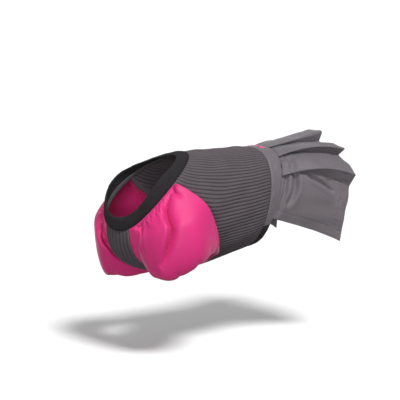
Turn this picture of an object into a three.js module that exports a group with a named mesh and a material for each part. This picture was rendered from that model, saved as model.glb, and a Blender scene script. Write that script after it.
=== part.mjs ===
// A small dog's dress in the shape it has when worn: a ribbed knit bodice with a bound neck, two puff
// sleeves set in between the neck seam and the leg holes, a woven waistband over the back and flanks,
// a knit band under the belly, and a short skirt of knife pleats that stands off the rump.
// Millimetres. +Z is up, the tail is towards +X, the head towards -X and the dog's left side is -Y.
// The origin is on the inner face of the bodice's back, where the garment rests on the spine.
import * as THREE from 'three';

// Torso sizes
const BACK_LENGTH = 85; // along the spine, neck seam to waist seam
const NAPE_AHEAD = 40; // neck seam's spine point, ahead of the origin
const NECK_RAKE = 84; // neck seam's chest point, ahead of its spine point
const NECK_DROP = 75; // neck seam's chest point, below its spine point
const CHEST_DEPTH = 120; // spine to the lowest point of the brisket
const CHEST_WIDTH = 94; // across the ribs
const BELLY_LEAD = 14; // waist seam's belly point, ahead of its spine point

// Cloth sizes
const KNIT_WALL = 2;
const RIB_RELIEF = 0.55;
const NECKBAND_WIDTH = 14;
const NECKBAND_WALL = 2.6;
const NECKBAND_LEAN = 2.2; // the free edge hugs the neck by this much
const WAISTBAND_WIDTH = 18;
const WAISTBAND_WALL = 2;
const BELLY_BAND_WIDTH = 8.5;
const BELLY_BAND_WALL = 2.6;
const SEAM_GAP = 0.35; // between pieces that are sewn edge to edge

// Ribs of the knit, which also place the leg holes: each starts and ends on a rib's edge
const SIDE_RIBS = 40; // on each side, from the spine to the middle of the chest
const SHOULDER_RIBS = 16; // from the spine to the leg hole
const PANEL_RIBS = 3; // from the middle of the chest to the leg hole

// Sleeve sizes. The leg opening's centre is measured from the origin.
const SLEEVE_WALL = 1.2;
const CUFF_LENGTH = 50; // the leg opening, front to back
const CUFF_WIDTH = 40;
const CUFF_AHEAD = 60;
const CUFF_OUT = 42;
const CUFF_DROP = 108;
const CUFF_TILT = 18; // the front of the opening hangs this much below its back
const CUFF_ROLL = 14; // and its inner side this much below its outer side
const PUFF_AHEAD = 61; // the puff's front, ahead of the leg opening's centre
const PUFF_OUT = 35; // its outer side, out from that centre
const FAR_LEG_AHEAD = 1; // the dog's right leg is a step ahead, which draws that sleeve forwards
const FAR_LEG_DROP = 11; // and down, most of all on its side at FAR_LEG_TURN
const FAR_LEG_TURN = 60;
const NECK_GATHERS = 7;
const CUFF_GATHERS = 14;
const NECK_GATHER_RELIEF = 0.9;
const CUFF_GATHER_RELIEF = 0.54;
const FOLD_DEPTH = 4; // of the one deep fold that runs down each puff

// Skirt sizes
const SKIRT_LENGTH = 82;
const SKIRT_WALL = 1;
const WAISTBAND_HALF_ANGLE = 118;
const BAND_END_GAP = 0.5; // degrees between the waistband's ends and the belly band
const FOLD_RADIUS = 0.75;
const LAYER = 2 * FOLD_RADIUS; // from one pressed layer of a pleat to the next
const SKIRT_GAP = 0.75; // behind the waistband's edge, as the pleats turn away from it

// Rows and columns of the meshes
const RIB_ROWS = 6;
const CHEST_ROWS = 4;
const BAND_ROWS = [0, 0.5, 1];
const NECKBAND_COLUMNS = 48;
const WAISTBAND_COLUMNS = 37;
const BELLY_BAND_COLUMNS = 17;
const SLEEVE_ROWS = 9;
const SLEEVE_COLUMNS = { neck: 28, chest: 12, rear: 16 };
const SKIRT_STATIONS = 8;

const DEGREE = Math.PI / 180;
const TURN = 360;
const RIB_ANGLE = TURN / 2 / SIDE_RIBS;
const SHOULDER_ANGLE = SHOULDER_RIBS * RIB_ANGLE;
const PANEL_ANGLE = TURN / 2 - PANEL_RIBS * RIB_ANGLE; // the leg hole's edge at the chest panel

// Rows of numbers as objects, under the names of their columns.
function table(columns, rows) {
  const names = columns.split(' ');
  return rows.map((row) => Object.fromEntries(row.map((value, i) => [names[i], value])));
}

// The torso from the neck seam (at 0) to the waist seam (at 1). spine and keel are shares of the way
// back along the spine and along the chest and belly; keelDrop is a share of what the chest hangs
// below the neck seam, half a share of half the width, and lead a share of the back's length that the
// sides are drawn forwards by. boxy squares the section off, narrowing slims its lower half, and fan
// spreads the ribs on the chest.
const TORSO = table('at spine keel keelDrop half lead boxy narrowing fan', [
  [0, 0, 0, 0, 0.9, 0.145, 0, -0.04, 1.25],
  [0.08, 0.08, 0.01, 0.33, 0.93, 0.135, 0.01, -0.02, 1.2],
  [0.17, 0.17, 0.06, 0.66, 0.96, 0.12, 0.02, 0, 1],
  [0.28, 0.28, 0.165, 0.9, 0.985, 0.09, 0.02, 0.02, 0.8],
  [0.41, 0.41, 0.32, 1, 1, 0.05, 0.02, 0.04, 0.55],
  [0.58, 0.58, 0.515, 1, 1, 0.02, 0.02, 0.05, 0.3],
  [0.78, 0.78, 0.755, 0.87, 0.985, 0, 0.02, 0.06, 0.1],
  [1, 1, 1, 0.68, 0.96, 0, 0.02, 0.06, 0],
]);

// How far back the leg hole reaches, as a share of the torso. across runs from the shoulder to the
// chest panel, as a share of the angle between them.
const ARMHOLE = table('across reach', [
  [0, 0],
  [0.024, 0.12],
  [0.071, 0.27],
  [0.138, 0.39],
  [0.243, 0.485],
  [0.37, 0.545],
  [0.508, 0.585],
  [0.646, 0.6],
  [0.804, 0.6],
  [0.931, 0.56],
  [1, 0.5],
]);

// The value of one column of a table at a place along it, on a smooth curve through its rows.
function along(rows, place, column, at) {
  const last = rows.length - 1;
  let i = 0;
  while (i < last - 1 && at > rows[i + 1][place]) i += 1;
  const slope = (k) => {
    const a = rows[Math.max(0, k - 1)];
    const b = rows[Math.min(last, k + 1)];
    return (b[column] - a[column]) / (b[place] - a[place]);
  };
  const [low, high] = [rows[i], rows[i + 1]];
  const span = high[place] - low[place];
  const u = Math.min(1, Math.max(0, (at - low[place]) / span));
  const rise = high[column] - low[column];
  const [s0, s1] = [slope(i) * span, slope(i + 1) * span];
  return low[column] + u * s0 + u * u * (3 * rise - 2 * s0 - s1) + u * u * u * (s0 + s1 - 2 * rise);
}

// The middle of the knit wall, at a share of the torso and an angle in degrees from the spine towards
// the dog's left.
function torsoPoint(at, angle) {
  const top = KNIT_WALL / 2;
  const spineX = -NAPE_AHEAD + BACK_LENGTH * along(TORSO, 'at', 'spine', at);
  const chestX = -NAPE_AHEAD - NECK_RAKE;
  const bellyX = -NAPE_AHEAD + BACK_LENGTH - BELLY_LEAD;
  const keelX = chestX + (bellyX - chestX) * along(TORSO, 'at', 'keel', at);
  const keelZ = top - NECK_DROP - (CHEST_DEPTH - NECK_DROP) * along(TORSO, 'at', 'keelDrop', at);
  const half = (CHEST_WIDTH / 2) * along(TORSO, 'at', 'half', at);
  const boxy = along(TORSO, 'at', 'boxy', at);
  const narrowing = along(TORSO, 'at', 'narrowing', at);
  const fan = along(TORSO, 'at', 'fan', at);
  const lead = BACK_LENGTH * along(TORSO, 'at', 'lead', at);
  // Ribs near the keel spread apart where the chest stretches the knit.
  const fromKeel = ((((angle % TURN) + TURN) % TURN) - TURN / 2) * DEGREE;
  const fanWidth = 35 * DEGREE;
  const spread = fromKeel * (1 + fan * Math.exp(-((fromKeel / fanWidth) ** 2)));
  const turn = Math.PI + spread;
  const up = (Math.cos(turn) - boxy * Math.cos(3 * turn)) / (1 - boxy);
  const out = (Math.sin(turn) + boxy * Math.sin(3 * turn)) / (1 - boxy);
  return new THREE.Vector3(
    (spineX + keelX) / 2 + (up * (spineX - keelX)) / 2 - lead * out * out,
    -half * out * (1 + narrowing * up),
    (top + keelZ) / 2 + (up * (top - keelZ)) / 2,
  );
}

// Unit vectors at a place on the torso: back along the rib, round the body, and out of the surface.
function torsoFrame(at, angle) {
  const step = 0.004;
  const turnStep = 0.4;
  const back = torsoPoint(Math.min(1, at + step), angle)
    .sub(torsoPoint(Math.max(0, at - step), angle))
    .normalize();
  const round = torsoPoint(at, angle + turnStep).sub(torsoPoint(at, angle - turnStep)).normalize();
  return { back, round, out: new THREE.Vector3().crossVectors(round, back).normalize() };
}

// A point of a band that carries the torso's surface on past a seam: distance is measured along the
// cloth from the seam, forwards of the neck seam or back from the waist seam.
function pastNeck(distance, angle) {
  const { back, out } = torsoFrame(0, angle);
  const lean = NECKBAND_LEAN * (distance / NECKBAND_WIDTH) ** 2;
  return torsoPoint(0, angle).addScaledVector(back, -distance).addScaledVector(out, -lean);
}

function pastWaist(distance, angle) {
  return torsoPoint(1, angle).addScaledVector(torsoFrame(1, angle).back, distance);
}

// The waistband is widest over the spine and tapers to the belly band's width at its ends.
function waistbandWidth(angle) {
  const share = Math.min(1, Math.abs(angle) / WAISTBAND_HALF_ANGLE);
  return WAISTBAND_WIDTH + (BELLY_BAND_WIDTH - WAISTBAND_WIDTH) * share * share;
}

// A closed mesh from three-cornered faces given as points.
function solid(faces) {
  const positions = faces.flatMap((face) => face.flatMap((p) => [p.x, p.y, p.z]));
  let volume = 0;
  for (const [a, b, c] of faces) volume += new THREE.Vector3().crossVectors(b, c).dot(a);
  if (volume < 0) {
    for (let i = 0; i < positions.length; i += 9) {
      for (let k = 3; k < 6; k += 1) {
        [positions[i + k], positions[i + k + 3]] = [positions[i + k + 3], positions[i + k]];
      }
    }
  }
  const geometry = new THREE.BufferGeometry();
  geometry.setAttribute('position', new THREE.Float32BufferAttribute(positions, 3));
  geometry.computeVertexNormals();
  return geometry;
}

// Two faces for four corners, split along the shorter diagonal.
function quad(faces, a, b, c, d) {
  if (a.distanceToSquared(c) <= b.distanceToSquared(d)) faces.push([a, b, c], [a, c, d]);
  else faces.push([a, b, d], [b, c, d]);
}

// Unit normals of a grid of points. rows of points; round says that each row closes on itself.
function gridNormals(rows, round) {
  const across = rows[0].length;
  return rows.map((row, j) =>
    row.map((point, i) => {
      const before = round ? row[(i + across - 1) % across] : row[Math.max(0, i - 1)];
      const after = round ? row[(i + 1) % across] : row[Math.min(across - 1, i + 1)];
      const ahead = rows[Math.max(0, j - 1)][i];
      const behind = rows[Math.min(rows.length - 1, j + 1)][i];
      const u = new THREE.Vector3().subVectors(after, before);
      const v = new THREE.Vector3().subVectors(behind, ahead);
      return u.cross(v).normalize();
    }),
  );
}

// Cloth of one thickness on both sides of a grid of points.
function cloth(rows, wall, round) {
  const normals = gridNormals(rows, round);
  const side = (sign) =>
    rows.map((row, j) => row.map((p, i) => p.clone().addScaledVector(normals[j][i], (sign * wall) / 2)));
  const [face, back] = [side(1), side(-1)];
  const faces = [];
  const across = rows[0].length;
  const spans = round ? across : across - 1;
  for (let i = 0; i < spans; i += 1) {
    const k = (i + 1) % across;
    for (let j = 0; j < rows.length - 1; j += 1) {
      quad(faces, face[j][i], face[j][k], face[j + 1][k], face[j + 1][i]);
      quad(faces, back[j + 1][i], back[j + 1][k], back[j][k], back[j][i]);
    }
    const end = rows.length - 1;
    quad(faces, back[0][i], back[0][k], face[0][k], face[0][i]);
    quad(faces, face[end][i], face[end][k], back[end][k], back[end][i]);
  }
  if (!round) {
    for (let j = 0; j < rows.length - 1; j += 1) {
      quad(faces, back[j][0], face[j][0], face[j + 1][0], back[j + 1][0]);
      const i = across - 1;
      quad(faces, face[j][i], back[j][i], back[j + 1][i], face[j + 1][i]);
    }
  }
  return solid(faces);
}

// An angle from the spine towards either side, from 0 to half a turn.
function wrapAngle(angle) {
  const turned = ((angle % TURN) + TURN) % TURN;
  return turned > TURN / 2 ? TURN - turned : turned;
}

function armholeReach(angle) {
  return along(ARMHOLE, 'across', 'reach', (angle - SHOULDER_ANGLE) / (PANEL_ANGLE - SHOULDER_ANGLE));
}

// Where the knit's main part starts at an angle: at the neck seam over the back, at the leg hole's
// rear edge on the flank, and on the chest where the panel between the sleeves joins it.
function mainStart(angle) {
  const side = wrapAngle(angle);
  if (side <= SHOULDER_ANGLE) return SEAM_GAP / BACK_LENGTH;
  return armholeReach(Math.min(side, PANEL_ANGLE));
}

// The ribbed knit bodice: a tube whose outer face rises and falls with each rib and whose inner face
// has one column of points for each rib. The chest panel is a second patch ahead of the main part.
function bodice() {
  const ribCount = 2 * SIDE_RIBS;
  const firstChestRib = SIDE_RIBS - PANEL_RIBS;
  const lastChestRib = SIDE_RIBS + PANEL_RIBS;
  const end = 1 - SEAM_GAP / BACK_LENGTH;
  const neckStart = SEAM_GAP / BACK_LENGTH / 2;
  const point = (ribs, at, offset) => {
    const angle = (ribs % ribCount) * RIB_ANGLE;
    return torsoPoint(at, angle).addScaledVector(torsoFrame(at, angle).out, offset);
  };
  const groove = (ribs, at) => point(ribs, at, KNIT_WALL / 2 - RIB_RELIEF);
  const crest = (ribs, at) => point(ribs + 0.5, at, KNIT_WALL / 2);
  const inner = (ribs, at) => point(ribs, at, -KNIT_WALL / 2);
  const faces = [];
  const place = (ribs, row, zone) => {
    const start = mainStart(ribs * RIB_ANGLE);
    if (zone === 'chest') return neckStart + (start - neckStart) * (row / CHEST_ROWS);
    return start + (end - start) * (row / RIB_ROWS);
  };
  const crossCap = (ribs, row, zone, facesForward) => {
    const [a, b, c] = [ribs, ribs + 0.5, ribs + 1].map((at) => place(at, row, zone));
    const [p, q] = [inner(ribs, a), inner(ribs + 1, c)];
    const [r, t, u] = [groove(ribs, a), crest(ribs, b), groove(ribs + 1, c)];
    const cap = [[p, r, t], [p, t, q], [q, t, u]];
    faces.push(...(facesForward ? cap : cap.map(([x, y, z]) => [x, z, y])));
  };
  const patch = (from, to, rows, zone) => {
    for (let ribs = from; ribs < to; ribs += 1) {
      for (let row = 0; row < rows; row += 1) {
        const [a0, b0, c0] = [ribs, ribs + 0.5, ribs + 1].map((at) => place(at, row, zone));
        const [a1, b1, c1] = [ribs, ribs + 0.5, ribs + 1].map((at) => place(at, row + 1, zone));
        quad(faces, groove(ribs, a0), groove(ribs, a1), crest(ribs, b1), crest(ribs, b0));
        quad(faces, crest(ribs, b0), crest(ribs, b1), groove(ribs + 1, c1), groove(ribs + 1, c0));
        quad(faces, inner(ribs, a0), inner(ribs + 1, c0), inner(ribs + 1, c1), inner(ribs, a1));
      }
    }
  };
  patch(0, ribCount, RIB_ROWS, 'main');
  patch(firstChestRib, lastChestRib, CHEST_ROWS, 'chest');
  for (let ribs = 0; ribs < ribCount; ribs += 1) {
    const onChest = ribs >= firstChestRib && ribs < lastChestRib;
    crossCap(ribs, 0, onChest ? 'chest' : 'main', true);
    crossCap(ribs, RIB_ROWS, 'main', false);
  }
  for (let row = 0; row < CHEST_ROWS; row += 1) {
    const sideCap = (ribs) => {
      const [a, b] = [place(ribs, row, 'chest'), place(ribs, row + 1, 'chest')];
      return [inner(ribs, a), inner(ribs, b), groove(ribs, b), groove(ribs, a)];
    };
    quad(faces, ...sideCap(firstChestRib));
    quad(faces, ...sideCap(lastChestRib).reverse());
  }
  return solid(faces);
}

// Angles at even steps, both ends included.
function angles(from, to, count) {
  return Array.from({ length: count }, (_, i) => from + ((to - from) * i) / (count - 1));
}

function neckband() {
  const rows = BAND_ROWS.map((share) =>
    angles(0, TURN, NECKBAND_COLUMNS + 1)
      .slice(0, NECKBAND_COLUMNS)
      .map((angle) => pastNeck(SEAM_GAP / 2 + share * (NECKBAND_WIDTH - SEAM_GAP / 2), angle)),
  );
  return cloth(rows, NECKBAND_WALL, true);
}

function waistband() {
  const rows = BAND_ROWS.map((share) =>
    angles(-WAISTBAND_HALF_ANGLE, WAISTBAND_HALF_ANGLE, WAISTBAND_COLUMNS).map((angle) =>
      pastWaist(SEAM_GAP / 2 + share * (waistbandWidth(angle) - SEAM_GAP / 2), angle),
    ),
  );
  return cloth(rows, WAISTBAND_WALL, false);
}

function bellyBand() {
  const first = WAISTBAND_HALF_ANGLE + BAND_END_GAP;
  const rows = BAND_ROWS.map((share) =>
    angles(first, TURN - first, BELLY_BAND_COLUMNS).map((angle) =>
      pastWaist(SEAM_GAP / 2 + share * (BELLY_BAND_WIDTH - SEAM_GAP / 2), angle),
    ),
  );
  return cloth(rows, BELLY_BAND_WALL, false);
}

// One half of the skirt, from the middle of the top pleat to the end edge. Each row is one line that
// runs from the waistband to the hem. root is its angle on the waistband and layer its height there
// in pressed layers. mid and hem say where it passes halfway and ends: back as a share of the skirt's
// length, out as a share of half the torso's width, down as a share of the torso's depth. fold 1 is a
// pleat's outer fold and -1 its inner fold.
const SKIRT = table('fold root layer midBack midOut midDown hemBack hemOut hemDown', [
  [0, 0, 1, 0.45, 0, -0.06, 0.87, 0, -0.112],
  [1, 13, 0.5, 0.45, 0.26, -0.055, 0.87, 0.26, -0.108],
  [-1, 4, -0.5, 0.45, 0.17, -0.01, 0.86, 0.17, -0.01],
  [0, 15, -0.9, 0.45, 0.48, -0.015, 0.91, 0.55, -0.005],
  [0, 22, 1, 0.45, 0.58, -0.012, 0.93, 0.66, 0.007],
  [1, 38, 0.5, 0.45, 0.8, 0, 0.97, 0.89, 0.033],
  [-1, 28, -0.5, 0.45, 0.62, 0.055, 0.94, 0.7, 0.095],
  [0, 41, -0.9, 0.45, 0.95, 0.1, 0.94, 1.08, 0.17],
  [0, 50, 1.2, 0.45, 1.03, 0.12, 0.935, 1.17, 0.192],
  [1, 66, 0.5, 0.45, 1.23, 0.175, 0.91, 1.4, 0.25],
  [-1, 56, -0.5, 0.45, 1.05, 0.24, 0.89, 1.21, 0.358],
  [0, 69, -0.9, 0.44, 1.14, 0.32, 0.865, 1.24, 0.45],
  [0, 80, 0, 0.43, 1.16, 0.42, 0.81, 1.26, 0.56],
  [0, 91, 0, 0.43, 1.14, 0.53, 0.78, 1.25, 0.67],
  [0, 102, 0, 0.42, 1.08, 0.64, 0.765, 1.22, 0.77],
  [0, 112, 0, 0.4, 1, 0.74, 0.755, 1.19, 0.85],
]);

// A point of one of the skirt's lines, at a share of the way from the waistband to the hem, on the
// dog's left (side 1) or right (side -1).
function skirtLine(row, share, side) {
  const angle = side * row.root;
  const rise = row.layer * LAYER;
  const start = pastWaist(waistbandWidth(angle) + SKIRT_GAP, angle);
  start.addScaledVector(torsoFrame(1, angle).out, rise);
  const waistX = -NAPE_AHEAD + BACK_LENGTH + WAISTBAND_WIDTH;
  const passing = (back, out, down) =>
    new THREE.Vector3(
      waistX + SKIRT_LENGTH * back,
      (-side * out * CHEST_WIDTH) / 2,
      KNIT_WALL / 2 - down * CHEST_DEPTH,
    );
  const middle = passing(row.midBack, row.midOut, row.midDown);
  const end = passing(row.hemBack, row.hemOut, row.hemDown);
  // A parabola through the three points, with the middle one halfway.
  const bend = middle.clone().multiplyScalar(2).sub(start.clone().add(end).multiplyScalar(0.5));
  return start
    .multiplyScalar((1 - share) ** 2)
    .addScaledVector(bend, 2 * share * (1 - share))
    .addScaledVector(end, share * share);
}

// The pleats lie over each other from the top one outwards, each with an outer and an inner fold.
function skirt() {
  const left = SKIRT.slice(1).map((row) => ({ row, side: 1 }));
  const right = SKIRT.slice(1).map((row) => ({ row, side: -1 }));
  const lines = [...right.reverse(), { row: SKIRT[0], side: 1 }, ...left];
  const stations = [];
  for (let station = 0; station <= SKIRT_STATIONS; station += 1) {
    const share = station / SKIRT_STATIONS;
    const points = lines.map(({ row, side }) => skirtLine(row, share, side));
    const profile = [];
    points.forEach((tip, i) => {
      if (!lines[i].row.fold) {
        profile.push(tip);
        return;
      }
      // A fold turns on three points: before, tip and after.
      const before = points[i - 1].clone().sub(tip).normalize();
      const after = points[i + 1].clone().sub(tip).normalize();
      const inwards = before.clone().add(after).normalize();
      const apart = before.clone().sub(after);
      apart.addScaledVector(inwards, -apart.dot(inwards)).normalize();
      const near = tip.clone().addScaledVector(inwards, FOLD_RADIUS);
      profile.push(near.clone().addScaledVector(apart, FOLD_RADIUS));
      profile.push(tip);
      profile.push(near.clone().addScaledVector(apart, -FOLD_RADIUS));
    });
    stations.push(profile);
  }
  return cloth(stations, SKIRT_WALL, false);
}

// The sleeve by places round its seam: 0 at the shoulder, 1 where the neck seam meets the chest
// panel, 2 at the panel's foot, 3 back at the shoulder. The cloth leaves the seam by lift out of the
// body and by spread across the leg hole, as shares of the puff's reach outwards. It then passes a
// high point and a low point, whose ahead and out are shares of the puff's reach from the centre of
// the leg opening and whose down is a share of that opening's depth. turn is where it ends round the
// leg, in degrees from straight out towards the front.
const SLEEVE = table('place lift spread highAhead highOut highDown lowAhead lowOut lowDown turn', [
  [0, 0.26, 0.08, -0.04, 0.66, 0.42, -0.28, 0.66, 0.82, -32],
  [0.35, 0.26, 0.12, 0.39, 0.95, 0.56, 0.18, 0.95, 0.94, 5],
  [0.7, 0.2, 0.16, 0.82, 0.6, 0.62, 0.58, 0.5, 1.09, 42],
  [1, 0.06, 0.36, 0.98, 0, 0.75, 0.76, 0.06, 1.075, 75],
  [1.25, 0.02, 0.38, 0.93, -0.26, 0.85, 0.69, -0.14, 1.08, 100],
  [1.5, 0.02, 0.3, 0.74, -0.42, 1, 0.56, -0.37, 1.11, 122],
  [1.75, 0.03, 0.12, 0.39, -0.61, 1.09, 0.31, -0.51, 1.12, 148],
  [2, 0.03, 0.03, -0.01, -0.7, 1.105, 0.025, -0.61, 1.1, 175],
  [2.125, 0.05, 0, -0.38, -0.34, 1.03, -0.34, -0.31, 1.02, 225],
  [2.25, 0.05, 0.02, -0.49, -0.05, 0.93, -0.47, -0.04, 0.955, 253],
  [2.375, 0.07, 0.03, -0.5, 0.1, 0.84, -0.49, 0.1, 0.93, 270],
  [2.5, 0.1, 0.04, -0.42, 0.24, 0.74, -0.45, 0.22, 0.9, 284],
  [2.75, 0.18, 0.05, -0.28, 0.47, 0.61, -0.37, 0.43, 0.86, 305],
  [3, 0.26, 0.08, -0.04, 0.66, 0.42, -0.28, 0.66, 0.82, 328],
]);

// The deep fold on the puff, from its root at the neck seam to its foot: places are as in SLEEVE, and
// shares are of the cloth's length from the seam to the leg opening.
const DEEP_FOLD = {
  rootPlace: 0.36,
  footPlace: 0.86,
  footShare: 0.75,
  breadth: 0.1,
  fadeFrom: 0.55,
  fadeTo: 0.85,
};
const SEAM_FADE = 0.125; // relief grows from nothing over this share
const NECK_GATHER_END = 0.4;
const CUFF_GATHER_START = 0.7;

// The leg hole's edge as stretches of places on the torso, each from one corner up to the next.
function armholeEdge() {
  const across = PANEL_ANGLE - SHOULDER_ANGLE;
  const crowding = 1.7; // the rear seam runs along the ribs near the shoulder, so its angle slows
  const shares = (count) => Array.from({ length: count }, (_, i) => i / count);
  const neck = shares(SLEEVE_COLUMNS.neck).map((share) => {
    return { place: share, at: 0, angle: SHOULDER_ANGLE + across * share };
  });
  const chest = shares(SLEEVE_COLUMNS.chest).map((share) => {
    return { place: 1 + share, at: armholeReach(PANEL_ANGLE) * share, angle: PANEL_ANGLE };
  });
  const rear = shares(SLEEVE_COLUMNS.rear).map((share) => {
    const angle = SHOULDER_ANGLE + across * (1 - share) ** crowding;
    return { place: 2 + share, at: armholeReach(angle), angle };
  });
  return [...neck, ...chest, ...rear];
}

// Points of the sleeve's middle surface on the dog's left (side 1) or right (side -1), in rows from
// the seam to the leg opening.
function sleeveRows(side) {
  const edge = armholeEdge();
  const count = edge.length;
  const seam = edge.map(({ at, angle }) => torsoPoint(at, angle));
  const inset = SEAM_GAP + SLEEVE_WALL / 2;
  const mitreLimit = 0.5;
  const far = side < 0 ? 1 : 0;
  const centre = new THREE.Vector3(-CUFF_AHEAD - far * FAR_LEG_AHEAD, -CUFF_OUT, -CUFF_DROP);
  const middle = seam.reduce((sum, point) => sum.add(point), new THREE.Vector3()).divideScalar(count);
  const curves = edge.map(({ place, at, angle }, i) => {
    const value = (column) => along(SLEEVE, 'place', column, place);
    const { out } = torsoFrame(at, angle);
    const stepIn = (from, to) => new THREE.Vector3().subVectors(from, to).cross(out).normalize();
    const first = stepIn(seam[(i + count - 1) % count], seam[i]);
    const inwards = first.clone().add(stepIn(seam[i], seam[(i + 1) % count])).normalize();
    const root = seam[i].clone().addScaledVector(inwards, inset / Math.max(mitreLimit, inwards.dot(first)));
    const turn = value('turn') * DEGREE;
    const hang = (far * FAR_LEG_DROP * (1 + Math.cos(turn - FAR_LEG_TURN * DEGREE))) / 2;
    const cuff = centre.clone();
    cuff.z -= hang;
    cuff.x -= (Math.sin(turn) * CUFF_LENGTH) / 2;
    cuff.y -= (Math.cos(turn) * CUFF_WIDTH) / 2;
    cuff.z -= (Math.sin(turn) * CUFF_TILT - Math.cos(turn) * CUFF_ROLL) / 2;
    const passing = (level, sag) =>
      new THREE.Vector3(
        centre.x - value(level + 'Ahead') * PUFF_AHEAD,
        centre.y - value(level + 'Out') * PUFF_OUT,
        centre.z * value(level + 'Down') - sag,
      );
    const across = middle.clone().sub(root).projectOnPlane(out).normalize();
    const lifted = root
      .clone()
      .addScaledVector(out, PUFF_OUT * value('lift'))
      .addScaledVector(across, PUFF_OUT * value('spread'));
    return new THREE.CatmullRomCurve3([
      root,
      lifted,
      passing('high', hang / 3),
      passing('low', hang),
      cuff,
    ]);
  });
  const shares = Array.from({ length: SLEEVE_ROWS + 1 }, (_, j) => j / SLEEVE_ROWS);
  const rows = shares.map((share) => curves.map((curve) => curve.getPointAt(share)));
  const normals = gridNormals(rows, true);
  const room = curves.map((curve) => Math.min(1, curve.getLength() / PUFF_AHEAD) ** 2);
  rows.forEach((row, j) =>
    row.forEach((point, i) => {
      point.addScaledVector(normals[j][i], -room[i] * sleeveRelief(edge[i].place, shares[j]));
      if (side < 0) point.setY(-point.y);
    }),
  );
  return rows;
}

// 0 before from, 1 after to and a straight rise between them.
function ramp(from, to, value) {
  return Math.min(1, Math.max(0, (value - from) / (to - from)));
}

// How far the sleeve's cloth stands out from its smooth form.
function sleeveRelief(place, share) {
  const { rootPlace, footPlace, footShare, breadth, fadeFrom, fadeTo } = DEEP_FOLD;
  const fadeIn = ramp(0, SEAM_FADE, share);
  const onNeck = place < 1 ? Math.sin(place * Math.PI) : 0;
  const neck = onNeck * Math.cos(place * NECK_GATHERS * TURN * DEGREE);
  const neckFade = fadeIn * ramp(NECK_GATHER_END, 0, share);
  const cuff = Math.cos((place / 3) * CUFF_GATHERS * TURN * DEGREE);
  const track = rootPlace + (footPlace - rootPlace) * ramp(0, footShare, share);
  const offTrack = (place - track) / breadth;
  const fold = Math.exp(-offTrack * offTrack) * fadeIn * ramp(fadeTo, fadeFrom, share);
  return (
    NECK_GATHER_RELIEF * neck * neckFade +
    CUFF_GATHER_RELIEF * cuff * ramp(CUFF_GATHER_START, 1, share) -
    FOLD_DEPTH * fold
  );
}

function sleeve(side) {
  return cloth(sleeveRows(side), SLEEVE_WALL, true);
}

const KNIT = { color: 0x5f585c, roughness: 0.9, metalness: 0 };
const NECK_KNIT = { color: 0x3c393c, roughness: 0.9, metalness: 0 };
const BELLY_KNIT = { color: 0x2e2a2d, roughness: 0.9, metalness: 0 };
const GREY_WEAVE = { color: 0x6f696f, roughness: 0.75, metalness: 0 };
const PINK_WEAVE = { color: 0xe23a85, roughness: 0.7, metalness: 0 };

const dress = new THREE.Group();
function addPiece(name, geometry, finish) {
  const mesh = new THREE.Mesh(geometry, new THREE.MeshStandardMaterial(finish));
  mesh.name = name;
  dress.add(mesh);
}
addPiece('bodice', bodice(), KNIT);
addPiece('neckband', neckband(), NECK_KNIT);
addPiece('sleeve_left', sleeve(1), PINK_WEAVE);
addPiece('sleeve_right', sleeve(-1), PINK_WEAVE);
addPiece('waistband', waistband(), GREY_WEAVE);
addPiece('belly_band', bellyBand(), BELLY_KNIT);
addPiece('skirt', skirt(), GREY_WEAVE);

export default dress;
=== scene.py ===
"""Looks of a small dog's dress: ribbed knit bodice, puff sleeves, woven waistband and pleated skirt.

The garment keeps the shape it has when worn. Lengths below are in millimetres, turned into metres
when a mesh is made. +X points to the tail, +Z up, and the dog's left side is -Y.
"""

import math

import bpy
import numpy as np
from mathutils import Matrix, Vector


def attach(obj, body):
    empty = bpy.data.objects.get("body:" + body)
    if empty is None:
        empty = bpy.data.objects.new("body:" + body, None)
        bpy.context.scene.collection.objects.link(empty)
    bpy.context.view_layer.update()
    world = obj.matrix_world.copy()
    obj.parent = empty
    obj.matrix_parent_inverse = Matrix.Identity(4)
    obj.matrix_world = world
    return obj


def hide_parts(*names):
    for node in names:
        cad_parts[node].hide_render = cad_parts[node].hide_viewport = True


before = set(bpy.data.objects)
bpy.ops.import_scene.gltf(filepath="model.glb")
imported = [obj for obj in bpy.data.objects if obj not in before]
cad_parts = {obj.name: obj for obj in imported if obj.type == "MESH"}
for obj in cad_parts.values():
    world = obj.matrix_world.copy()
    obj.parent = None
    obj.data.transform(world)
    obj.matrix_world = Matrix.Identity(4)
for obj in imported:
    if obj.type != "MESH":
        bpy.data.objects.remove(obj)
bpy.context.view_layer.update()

MM = 0.001
TURN = 360.0

# Sizes of the garment, as in the part's source
BACK_LENGTH = 85.0
NAPE_AHEAD = 40.0
NECK_RAKE = 84.0
NECK_DROP = 75.0
CHEST_DEPTH = 120.0
CHEST_WIDTH = 94.0
BELLY_LEAD = 14.0
KNIT_WALL = 2.0
NECKBAND_WIDTH = 14.0
NECKBAND_WALL = 2.6
NECKBAND_LEAN = 2.2
WAISTBAND_WIDTH = 18.0
WAISTBAND_WALL = 2.0
BELLY_BAND_WIDTH = 8.5
BELLY_BAND_WALL = 2.6
SHOULDER_ANGLE = 72.0
PANEL_ANGLE = 166.5
SLEEVE_WALL = 1.2
CUFF_LENGTH = 50.0
CUFF_WIDTH = 40.0
CUFF_AHEAD = 60.0
CUFF_OUT = 42.0
CUFF_DROP = 108.0
CUFF_TILT = 18.0
CUFF_ROLL = 14.0
PUFF_AHEAD = 61.0
PUFF_OUT = 35.0
FAR_LEG_AHEAD = 1.0
FAR_LEG_DROP = 11.0
FAR_LEG_TURN = 60.0
SKIRT_LENGTH = 82.0
SKIRT_WALL = 0.9
SKIRT_GAP = 0.5
WAISTBAND_HALF_ANGLE = 118.0
LAYER = 1.5
SEAM_GAP = 0.15

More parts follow.
